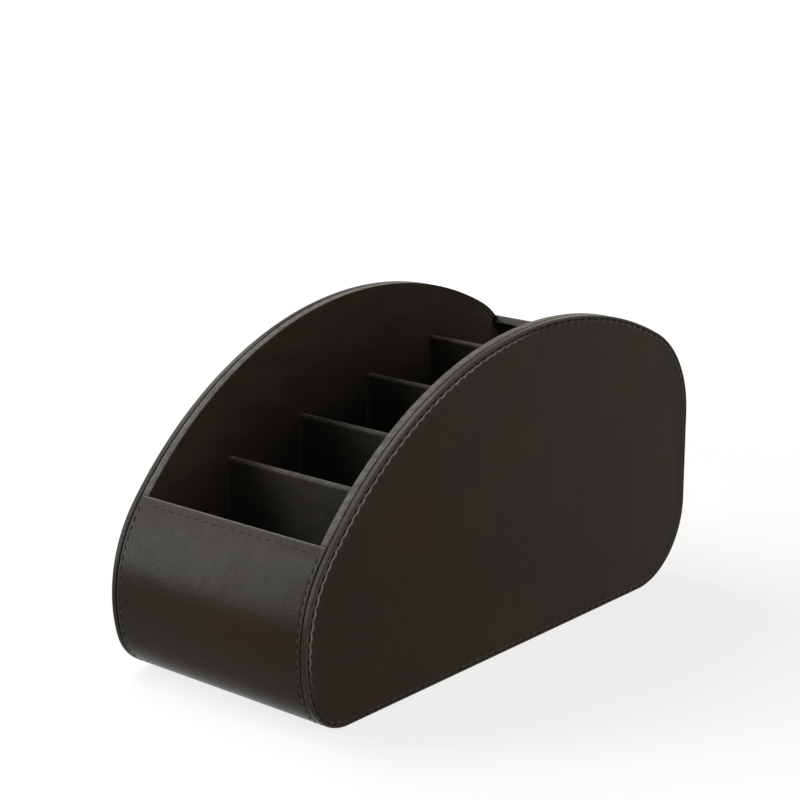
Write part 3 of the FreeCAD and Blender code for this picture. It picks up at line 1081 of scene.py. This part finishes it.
@dataclass
class SideLeather:
    """The leather over a side panel, with a puffed edge roll and a stitched groove."""

    outline: SideOutline
    finishes: Finishes
    thread: Thread
    face_x: float = 52.5 * MM
    board: float = 2.4 * MM
    straight: float = 2.1 * MM
    spacing: float = 1.175 * MM
    group: int = 4
    seam_round: float = 0.5 * MM
    groove: float = 1.5 * MM
    groove_reach: float = 0.4 * MM
    # Painted shade darkens the groove between the needle holes, and the leather at the
    # seam.
    groove_dirt: float = 0.3
    seam_dirt: float = 0.5 * MM
    thread_sink: float = 0.28 * MM
    roll: tuple[float, float] = (0.4 * MM, 0.8 * MM)
    # The roll gets some rubbing and painted highlight; the crest's light line is a
    # painted highlight, strongest along the upper front.
    roll_wear: float = 0.15
    crest: float = 1.95 * MM
    crest_wave: float = 0.28 * MM
    crest_reach: float = 0.42 * MM
    crest_wear: float = 0.6
    least_rub: float = 0.1
    rub_rise: tuple[float, float] = (15 * MM, 45 * MM)
    rub_back: tuple[float, float] = (-20 * MM, 20 * MM)
    # How far each ring goes in and out from the one before, in millimetres.
    profile: tuple[tuple[float, float], ...] = (
        (0.05, 0.45), (0.15, 0.38), (0.25, 0.20), (0.30, 0.05), (0.30, -0.16),
        (0.25, -0.26), (0.20, -0.07), (0.20, 0.07), (0.20, 0.28), (0.25, 0.24),
        (0.30, 0.06), (0.60, -0.05), (1.50, -0.10), (2.60, -0.05))
    # Each puckered ring's least and most inset, and its lift at the needle holes and
    # halfway between them, in millimetres.
    puckers: tuple[tuple[float, float, float, float], ...] = (
        (0.95, 1.15, -0.06, 0.03), (1.25, 1.35, 0.12, 0.0), (1.45, 1.55, 0.26, -0.02),
        (1.65, 1.75, 0.16, 0.0), (1.85, 1.95, -0.06, 0.05), (2.1, 2.2, -0.20, 0.08),
        (2.4, 2.5, -0.16, 0.07), (3.0, 3.1, -0.05, 0.03))

    def build(self) -> None:
        """Build both sides' leather and stitching, and dress them."""
        dress_both(self.model(), self.finishes.leather,
                   "outer_side_cover")
        for side in (Side.RIGHT, Side.LEFT):
            self.sew(side)

    def model(self) -> Piece:
        """Model the right side's leather.

        Returns:
            The piece.
        """
        run = self.outline.loop()
        start = run[0].at(0).place + ACROSS * self.outline.seam_x
        bench = Bench.begin("side_leather_right", start)
        bench.trace(run, self.spacing, self.group)
        bench.weld()
        bpy.ops.mesh.edge_face_add()
        bench.face_out(self.outline.middle)
        bench.push(ACROSS * self.straight)
        for inward, outward in self.profile:
            bench.inset(inward * MM, outward * MM)
        self.pucker(bench)
        self.hollow(bench)
        bench.face_out()
        piece = bench.done(60.0)
        # Paint rubbing and painted highlight on the roll, and painted highlight on the
        # crest.
        paint(piece, "wear", self.wear)
        # Paint shade into the groove and along the seam.
        paint(piece, "groove", self.dirt)
        return piece

    @cached_property
    def samples(self) -> list[Sample]:
        """The samples of the traced outline."""
        return walk(self.outline.loop(), self.spacing, self.group)

    @cached_property
    def near(self) -> Nearness:
        """Finds a vertex's sample, and how far in from the outline it lies."""
        return Nearness(self.samples)

    def pucker(self, bench: Bench) -> None:
        """Pull the leather in at each needle hole and let it rise between them.

        Args:
            bench: The piece at work.
        """
        edge = self.outline.seam_x + self.straight
        for low, high, *lifts in self.puckers:
            for phase, lift in zip((0, self.group // 2), lifts):
                def chosen(place: Vector) -> bool:
                    """Tell whether a vertex is in this ring and phase."""
                    number, inset = self.near(place)
                    return (place.x > edge and low * MM < inset < high * MM and
                            number % self.group == phase)
                bench.pick(chosen)
                bench.move(ACROSS * lift * MM)

    def hollow(self, bench: Bench) -> None:
        """Round the seam's edge and sink the board's recess into the back.

        Args:
            bench: The piece at work.
        """
        seam = self.outline.seam_x
        bench.pick(lambda *ends: all(
            abs(end.x - seam) < TINY and self.near(end)[1] < ON_LINE
            for end in ends), Element.EDGE)
        bench.bevel(self.seam_round, segments=3)
        bench.pick(lambda *corners: len(corners) > 4 and all(
            abs(corner.x - seam) < TINY for corner in corners), Element.FACE)
        bench.inset(self.outline.leather - self.seam_round)
        bench.push(ACROSS * self.board)

    def wave(self, number: int) -> float:
        """The rise between needle holes: 0 at a hole and 1 halfway to the next."""
        return math.sin(math.pi * (number % self.group) / self.group)

    def wear(self, place: Vector) -> float:
        """Tell how much rubbing and painted highlight the edge roll gets, and how much
        painted highlight its crest gets.

        Args:
            place: A vertex's place.

        Returns:
            The rubbing and painted highlight, from 0 to 1.
        """
        number, inset = self.near(place)
        wave = self.wave(number)
        roll = bell(inset, *self.roll) * ramp(place.x, self.outline.seam_x, self.face_x)
        # Painted highlight along the crest, lighter between the needle holes.
        crest = bell(inset, self.crest + self.crest_wave * wave, self.crest_reach)
        crest *= self.crest_wear + (1 - self.crest_wear) * wave
        return max(roll * self.roll_wear, crest * self.handled(place))

    def handled(self, place: Vector) -> float:
        """How much painted highlight the crest gets: most along the upper front, where
        light falls from above, little elsewhere.
        """
        rub = ramp(place.z, *self.rub_rise) * (1 - ramp(place.y, *self.rub_back))
        return self.least_rub + (1 - self.least_rub) * rub

    def dirt(self, place: Vector) -> float:
        """Tell how much painted shade darkens the groove and the seam.

        Args:
            place: A vertex's place.

        Returns:
            The painted shade, from 0 to 1.
        """
        number, inset = self.near(place)
        groove = bell(inset, self.groove, self.groove_reach) * self.wave(number)
        seam = self.outline.seam_x
        return max(groove * self.groove_dirt,
                   1 - ramp(place.x, seam, seam + self.seam_dirt))

    def sew(self, side: Side) -> None:
        """Stitch one side's groove all round.

        Args:
            side: The side.
        """
        out = ACROSS * side.value
        holes = [sample.place + sample.inward * self.groove +
                 out * (self.face_x - self.thread_sink)
                 for sample in self.samples[::self.group]]
        self.thread.sew(f"side_stitching_{side.word}", holes, [out] * len(holes))


@dataclass
class WrapLeather:
    """The leather bent round the front, base and back, and folded over both lips."""

    outline: SideOutline
    finishes: Finishes
    thread: Thread
    wall: float = 4.0 * MM
    fold: float = 0.6 * MM
    fold_steps: int = 5
    slack: float = 0.05 * MM
    tuck: float = 0.9 * MM
    skived: float = 0.6
    skiving: tuple[float, float] = (2 * MM, 6 * MM)
    spacing: float = 2.0 * MM
    group: int = 2
    lip_marks: tuple[float, ...] = (0.6 * MM, 2.2 * MM)
    lip_steps: tuple[int, ...] = (2, 4)
    seam_inset: float = 1.8 * MM
    seam_sink: float = 0.01 * MM
    lip_inset: float = 3.5 * MM
    lip_row: float = 0.2 * MM
    lip_sink: float = 0.10 * MM
    lip_reach: float = 42.3 * MM
    lip_pitch: float = 4.7 * MM
    pinch: float = 0.07 * MM
    pinch_reach: float = 0.3 * MM
    groove_depth: float = 0.03 * MM
    # Rubbing and painted highlight on the seams' edges, and painted highlight on the
    # stitch rows and lips.
    edge_wear: float = 0.12
    seam_wear: float = 0.1
    wear_reach: float = 0.5 * MM
    lip_wear: float = 0.45
    lip_worn: tuple[float, float] = (0.1 * MM, 0.8 * MM)
    # The width of the painted shade beside each seam.
    seam_dirt: float = 0.35 * MM
    # How far in each column lies from the seam, and how deep it sinks, in millimetres.
    edge: tuple[tuple[float, float], ...] = (
        (0.0, 0.45), (0.10, 0.18), (0.30, 0.04), (0.60, 0.0), (1.00, 0.0), (1.30, 0.0),
        (1.55, 0.01), (1.80, 0.02), (2.05, 0.01), (2.40, 0.0), (3.00, 0.0), (3.70, 0.0))

    def build(self) -> None:
        """Build the leather and its stitching, and dress them."""
        dress(self.model(), self.finishes.leather, ["shell_cover"])
        for side in Side:
            self.sew_seam(side)
        for name, lip in zip(("front", "back"), self.lips):
            self.sew_lip(name, lip)

    def run(self) -> Run:
        """Divide the shell's run into finer pieces at both lips.

        Returns:
            The pieces in order.
        """
        crown, *between, shoulder = self.outline.shell_run()
        marks = (*self.lip_marks, crown.length)
        starts = [crown.first + mark / crown.radius for mark in marks]
        ends = [shoulder.last - mark / shoulder.radius for mark in marks]
        front = [replace(crown, first=first, last=last, steps=steps)
                 for first, last, steps in zip(starts, starts[1:], self.lip_steps)]
        back = [replace(shoulder, first=first, last=last, steps=steps)
                for last, first, steps in zip(ends, ends[1:], self.lip_steps)]
        return [*front, *between, replace(shoulder, last=ends[-1]), *reversed(back)]

    @cached_property
    def samples(self) -> list[Sample]:
        """The samples of the run's rows."""
        return walk(self.run(), self.spacing, self.group)

    @cached_property
    def lips(self) -> tuple[Sample, Sample]:
        """The samples on the front lip's line and on the back lip's."""
        run = self.outline.shell_run()
        return run[0].at(0), run[-1].at(1)

    def columns(self) -> list[float]:
        """Place the columns across the wrap.

        Returns:
            Each one's X.
        """
        edge = [self.outline.seam_x - inset * MM for inset, _ in self.edge]
        gap = self.lip_pitch / 2
        count = round(2 * self.lip_reach / gap)
        middle = [self.lip_reach - step * gap for step in range(count + 1)]
        return edge + middle + [-place for place in reversed(edge)]

    def model(self) -> Piece:
        """Model the leather.

        Returns:
            The piece.
        """
        columns, samples = self.columns(), self.samples
        bench = Bench.begin("wrap_leather", samples[0].place + ACROSS * columns[0])
        bench.trace(self.run(), self.spacing, self.group)
        bench.sweep(columns)
        bench.face_out(self.outline.middle)
        bench.sink_edges(self.edge, self.outline.seam_x)
        self.pucker(bench)
        self.fold_lip(bench, samples[0], -1)
        self.fold_lip(bench, samples[-1], 1)
        bench.weld()
        piece = bench.done(60.0)
        thicken(piece, self.outline.leather, self.skive)
        # Paint rubbing and painted highlight on the edges, and painted highlight on the
        # stitch rows and lips.
        paint(piece, "wear", self.wear)
        # Paint shade that darkens the leather towards each seam.
        paint(piece, "groove", lambda place: ramp(
            abs(place.x), self.outline.seam_x - self.seam_dirt, self.outline.seam_x))
        return piece

    def skive(self, place: Vector) -> float:
        """Give the share of the leather's thickness that is left, thin at the lips.

        Args:
            place: A vertex's place.

        Returns:
            The share.
        """
        front, back = self.lips
        gone = min(front.gone(place), -back.gone(place))
        return 1 - (1 - self.skived) * (1 - ramp(gone, *self.skiving))

    def pucker(self, bench: Bench) -> None:
        """Sink the lips' grooves and pull the leather in at each needle hole.

        Args:
            bench: The piece at work.
        """
        near = Nearness(self.samples)
        for lip in self.lips:
            def in_groove(place: Vector) -> bool:
                """Tell whether a vertex is in the row of the lip's groove."""
                return (abs(abs(lip.gone(place)) - self.lip_inset) < self.lip_row and
                        abs(lip.beside(place)) < self.wall / 2 and
                        abs(place.x) < self.lip_reach + MM)
            bench.pick(in_groove)
            bench.sink(self.groove_depth)
        start = sum(self.lip_steps)
        rows = range(start, len(self.samples) - start, self.group)
        column = self.outline.seam_x - self.seam_inset
        bench.pick(lambda place: abs(abs(place.x) - column) < self.pinch_reach and
                   near(place)[0] in rows)
        bench.sink(self.pinch)

    def fold_lip(self, bench: Bench, end: Sample, sense: int) -> None:
        """Fold the leather over a lip and tuck it down inside.

        Args:
            bench: The piece at work.
            end: The sample at the run's own end.
            sense: 1 at the run's last end, and -1 at its first.
        """
        quarter = sense * math.pi / 2

        def by(place: Vector, spot: Vector, reach: float) -> bool:
            """Tell whether a vertex is near a spot, as seen from the side."""
            return (on_side(place.yz) - spot).length < reach
        bench.pick(lambda place: end.gone(place) * sense > -self.slack and
                   by(place, end.place, MM))
        centre = end.place + end.inward * self.fold
        bench.turn(self.fold_steps, quarter, tuple(centre.yz))
        top = centre + end.along * sense * self.fold
        bench.pick(lambda place: abs(place.x) < self.outline.lining_x + TINY and
                   by(place, top, self.slack))
        flat = self.wall - 2 * self.fold
        for _ in range(2):
            bench.push(end.inward * flat / 2)
        centre += end.inward * flat
        bench.turn(self.fold_steps, quarter, tuple(centre.yz))
        bench.push(end.along * -sense * self.tuck)

    def sew_seam(self, side: Side) -> None:
        """Stitch the leather beside one seam.

        Args:
            side: The seam's side.
        """
        start = sum(self.lip_steps)
        samples = self.samples[start:-start:self.group]
        column = ACROSS * side.value * (self.outline.seam_x - self.seam_inset)
        holes = [sample.place + sample.inward * self.seam_sink + column
                 for sample in samples]
        self.thread.sew(f"wrap_stitching_{side.word}", holes,
                        [-sample.inward for sample in samples])

    def sew_lip(self, name: str, lip: Sample) -> None:
        """Stitch the leather under one lip.

        Args:
            name: The lip's name.
            lip: The sample on its line.
        """
        row = min(self.samples, key=lambda sample: abs(
            (sample.place - lip.place).length - self.lip_inset))
        count = round(2 * self.lip_reach / self.lip_pitch)
        place = row.place + row.inward * self.lip_sink
        holes = [place + ACROSS * (step * self.lip_pitch - self.lip_reach)
                 for step in range(count + 1)]
        self.thread.sew(f"lip_stitching_{name}", holes, [-row.inward] * len(holes))

    def wear(self, place: Vector) -> float:
        """Tell how much rubbing and painted highlight the seams' edges get, and how much
        painted highlight the stitch rows and lips get.

        Args:
            place: A vertex's place.

        Returns:
            The rubbing and painted highlight, from 0 to 1.
        """
        out, seam = abs(place.x), self.outline.seam_x
        levels = [
            bell(out, seam - self.wear_reach, self.wear_reach) * self.edge_wear,
            bell(out, seam - self.seam_inset, self.wear_reach) * self.seam_wear]
        for lip in self.lips:
            corner = self.wall / 2 - abs(lip.beside(place) - self.wall / 2)
            away = math.hypot(lip.gone(place), corner)
            levels.append(self.lip_wear * (1 - ramp(away, *self.lip_worn)))
        return max(levels)


@dataclass
class WallLining:
    """The suede on a side wall's inner face, turned over its edge along the open top."""

    outline: SideOutline
    finishes: Finishes
    spacing: float = 1.5 * MM
    edge_round: float = 0.5 * MM
    seam_sink: float = 0.3 * MM
    strip_steps: tuple[float, ...] = (0.35, 0.35, 0.22, 0.08)
    # The strip along the top edge gets painted highlight with some rubbing.
    strip_wear: float = 0.8
    wear_reach: float = 0.6 * MM

    def build(self) -> None:
        """Build both walls' linings and dress them."""
        dress_both(self.model(), self.finishes.lining,
                   "inner_side_lining")

    def model(self) -> Piece:
        """Model the right wall's lining.

        Returns:
            The piece.
        """
        inner, outer = self.outline.lining_x, self.outline.seam_x
        leather = self.outline.leather
        under = [piece.set_in(leather) for piece in self.outline.shell_run()]
        over = self.outline.top_run()
        first, last = under[0].at(0), over[0].at(0)
        bench = Bench.begin("wall_lining_right", first.place + ACROSS * inner)
        bench.trace(under, self.spacing)
        bench.push(last.inward * -leather)
        bench.trace(over, self.spacing)
        bench.push(first.inward * leather)
        bench.weld()
        bpy.ops.mesh.edge_face_add()
        near = Nearness(walk(over, self.spacing))
        bench.pick(lambda place: near(place)[1] < ON_LINE)
        for share in self.strip_steps:
            bench.push(ACROSS * (outer - inner) * share)
        bench.face_out(self.outline.middle + ACROSS * outer)
        bench.pick(lambda place: place.x > outer - TINY)
        bench.sink(self.seam_sink)
        bench.pick(lambda *ends: all(abs(end.x - inner) < TINY and near(end)[1] < ON_LINE
                                     for end in ends), Element.EDGE)
        bench.bevel(self.edge_round, segments=3)
        piece = bench.done(50.0)
        thicken(piece, self.outline.lining)
        # Painted highlight, with some rubbing, on the top strip, fading out over its
        # inner edge.
        paint(piece, "wear", lambda place: self.strip_wear * ramp(
            place.x, inner, inner + self.wear_reach))
        return piece


@dataclass
class TroughLining:
    """The suede sheet down the front wall, over the floor and up the back."""

    outline: SideOutline
    finishes: Finishes
    inset: float = 4.0 * MM
    spacing: float = 2.5 * MM
    middle_columns: int = 14
    # How far in each column lies from a wall, and how deep it sinks, in millimetres.
    edge: tuple[tuple[float, float], ...] = (
        (0.0, -0.50), (0.20, -0.22), (0.60, -0.05), (1.20, 0.0))

    def build(self) -> None:
        """Build the sheet and dress it."""
        outer = self.outline.lining_x
        run = [piece.set_in(self.inset)
               for piece in self.outline.shell_run(self.outline.leather)]
        edge = [outer - inset * MM for inset, _ in self.edge]
        gap = 2 * edge[-1] / self.middle_columns
        middle = [edge[-1] - gap * step for step in range(1, self.middle_columns)]
        bench = Bench.begin("trough_lining", run[0].at(0).place + ACROSS * outer)
        bench.trace(run, self.spacing)
        bench.sweep(edge + middle + [-place for place in reversed(edge)])
        bench.face_out(self.outline.middle, -1)
        bench.sink_edges(self.edge, outer)
        piece = bench.done()
        thicken(piece, self.outline.lining)
        dress(piece, self.finishes.lining, ["shell_lining"])


@dataclass
class DividerCovers:
    """The suede folded over each divider's top and down both of its faces."""

    outline: SideOutline
    finishes: Finishes
    count: int = 4
    top_round: float = 1.35 * MM
    top_steps: int = 5
    rows: int = 10
    columns: int = 24
    # The tops get painted highlight with some rubbing.
    top_wear: float = 0.5
    worn_drop: tuple[float, float] = (1.5 * MM, 0.3 * MM)

    def build(self) -> None:
        """Build each divider's cover and dress it."""
        for number in range(1, self.count + 1):
            node = f"divider_cover_{number}"
            piece = self.model(f"divider_suede_{number}", *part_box(node))
            dress(piece, self.finishes.lining, [node])

    def model(self, name: str, low: Vector, high: Vector) -> Piece:
        """Model one cover.

        Args:
            name: The piece's name.
            low: The lowest corner of the divider.
            high: The highest corner of the divider.

        Returns:
            The piece.
        """
        bench = Bench.begin(name, low)
        top = high.z - self.top_round
        rise = Vector((0, 0, (top - low.z) / self.rows))
        gap = (high.x - low.x) / self.columns
        for _ in range(self.rows):
            bench.push(rise)
        bench.turn(self.top_steps, -math.pi / 2, (low.y + self.top_round, top))
        bench.push(Vector((0, high.y - low.y - 2 * self.top_round, 0)))
        bench.turn(self.top_steps, -math.pi / 2, (high.y - self.top_round, top))
        for _ in range(self.rows):
            bench.push(-rise)
        bench.sweep([low.x + gap * column for column in range(self.columns + 1)])
        bench.face_out((low + high) / 2)
        piece = bench.done()
        thicken(piece, self.outline.lining)
        start, end = (high.z - drop for drop in self.worn_drop)
        # Painted highlight, with some rubbing, on the top, fading out down the faces.
        paint(piece, "wear", lambda place: self.top_wear * ramp(place.z, start, end))
        return piece


@dataclass
class BaseFelt:
    """The felt glued under the base."""

    finishes: Finishes
    corner: float = 6.0 * MM
    soft_edge: float = 0.3 * MM

    def build(self) -> None:
        """Build the felt and dress it."""
        low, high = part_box("base_felt")
        size = high - low
        bench = Bench.begin("felt_pad", low)
        bench.push(ACROSS * size.x)
        bench.pick_all()
        bench.push(Vector((0, size.y, 0)))
        bench.pick_all()
        bench.bevel(self.corner, segments=8, affect="VERTICES")
        bench.pick_all()
        bench.push(Vector((0, 0, size.z)))
        bench.face_out()
        bench.pick(lambda start, end: abs(start.z - end.z) < TINY, Element.EDGE)
        bench.bevel(self.soft_edge, segments=2)
        dress(bench.done(), self.finishes.felt, ["base_felt"])


@dataclass
class Boards:
    """The packed fibreboards, which keep their shape and get their finish."""

    finishes: Finishes

    def build(self) -> None:
        """Give every board its finish."""
        for name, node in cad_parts.items():
            if "board" in name:
                cover(node, self.finishes.board)


# The studio


@dataclass
class Lamp:
    """A soft rectangular lamp, aimed at the caddy."""

    name: str
    place: tuple[float, float, float]
    width: float
    height: float
    power: float
    colour: tuple[float, float, float] = (1.0, 1.0, 1.0)

    def hang(self, target: Vector) -> None:
        """Hang the lamp and aim it.

        Args:
            target: The point it shines at.
        """
        light = bpy.data.lights.new(self.name, "AREA")
        light.energy = self.power
        light.shape = "RECTANGLE"
        light.size = self.width
        light.size_y = self.height
        light.color = self.colour
        place_in_scene(light, Vector(self.place), Vector(self.place) - target)


def place_in_scene(data: bpy.types.ID, place: Vector, back: Vector) -> bpy.types.Object:
    """Put a lamp or camera in the scene.

    Args:
        data: The lamp's or camera's settings.
        place: Where it stands.
        back: The way from what it looks at to it.

    Returns:
        Its object.
    """
    holder = bpy.data.objects.new(data.name, data)
    bpy.context.scene.collection.objects.link(holder)
    holder.location = place
    holder.rotation_euler = back.to_track_quat("Z", "Y").to_euler()
    return holder


@dataclass
class Studio:
    """A pale floor, soft lamps and the camera."""

    floor_size: float = 8.0
    floor_drop: float = 0.1 * MM
    floor_colour: Colour = (0.22, 0.22, 0.21, 1.0)
    floor_glow: float = 0.8
    shadow_reach: tuple[float, float] = (0.3, 0.8)
    sky: float = 0.12
    white: Colour = (1.0, 1.0, 1.0, 1.0)
    target: tuple[float, float, float] = (0.0, 0.0, 0.06)
    lamps: tuple[Lamp, ...] = (
        Lamp("key", (-1.12, -1.12, 0.58), 0.50, 1.15, 16.5, (0.90, 0.97, 1.0)),
        Lamp("fill", (1.45, -0.15, 0.4), 1.0, 1.0, 12.0, (1.0, 0.88, 0.74)),
        Lamp("top", (-0.9, -0.15, 1.15), 1.25, 0.8, 19.0))
    camera_place: tuple[float, float, float] = (0.54973, -0.65779, 0.33205)
    azimuth: float = math.radians(40.341)
    elevation: float = math.radians(15.319)
    focal: float = 96.52
    nearest: float = 0.01

    def build(self) -> None:
        """Set up the floor, the sky, the lamps and the camera."""
        self.lay_floor()
        self.light_sky()
        for lamp in self.lamps:
            lamp.hang(Vector(self.target))
        self.place_camera()
        bpy.context.scene.view_settings.view_transform = "Standard"

    def lay_floor(self) -> None:
        """Lay a pale floor that shows white with the caddy's shadow on it."""
        bpy.ops.object.select_all(action="DESELECT")
        bpy.ops.mesh.primitive_plane_add(size=self.floor_size,
                                         location=(0, 0, -self.floor_drop))
        floor = bpy.context.active_object
        floor.name = "floor"
        graph = Graph(bpy.data.materials.new("pale_floor"))
        floor.data.materials.append(graph.finish(
            Base_Color=self.floor_colour, Roughness=0.9, Specular_IOR_Level=0.0))
        away = graph.add("VectorMath", {0: graph.coords["Object"]},
                         operation="LENGTH")["Value"]
        rise = graph.span(away, *self.shadow_reach, low=self.floor_glow)
        lit = graph.shader.outputs[0]
        glow = graph.add("Emission", {"Strength": rise})[0]
        both = graph.add("AddShader", {0: lit, 1: glow})[0]
        chosen = graph.add("MixShader", {0: graph.seen(), 1: lit, 2: both})[0]
        graph.feed(graph.tree.nodes["Material Output"].inputs[0], chosen)

    def light_sky(self) -> None:
        """Surround the caddy with white that lights it softly."""
        world = bpy.data.worlds.new("studio")
        bpy.context.scene.world = world
        graph = Graph(world, "Background")
        graph.finish(Color=self.white, Strength=graph.span(graph.seen(), low=self.sky))

    def place_camera(self) -> None:
        """Put the camera where the photograph was taken from."""
        camera = bpy.data.cameras.new("camera")
        camera.lens = self.focal
        camera.clip_start = self.nearest
        level = math.cos(self.elevation)
        back = Vector((math.sin(self.azimuth) * level, -math.cos(self.azimuth) * level,
                       math.sin(self.elevation)))
        bpy.context.scene.camera = place_in_scene(camera, Vector(self.camera_place), back)


def main() -> None:
    """Build the caddy's pieces in order, then the studio."""
    logging.basicConfig(level=logging.INFO, format="%(message)s")
    outline = SideOutline()
    finishes = Finishes()
    thread = Thread(finishes.thread)
    Boards(finishes).build()
    TroughLining(outline, finishes).build()
    DividerCovers(outline, finishes).build()
    WallLining(outline, finishes).build()
    WrapLeather(outline, finishes, thread).build()
    SideLeather(outline, finishes, thread).build()
    BaseFelt(finishes).build()
    Studio().build()


if __name__ == "__main__":
    main()
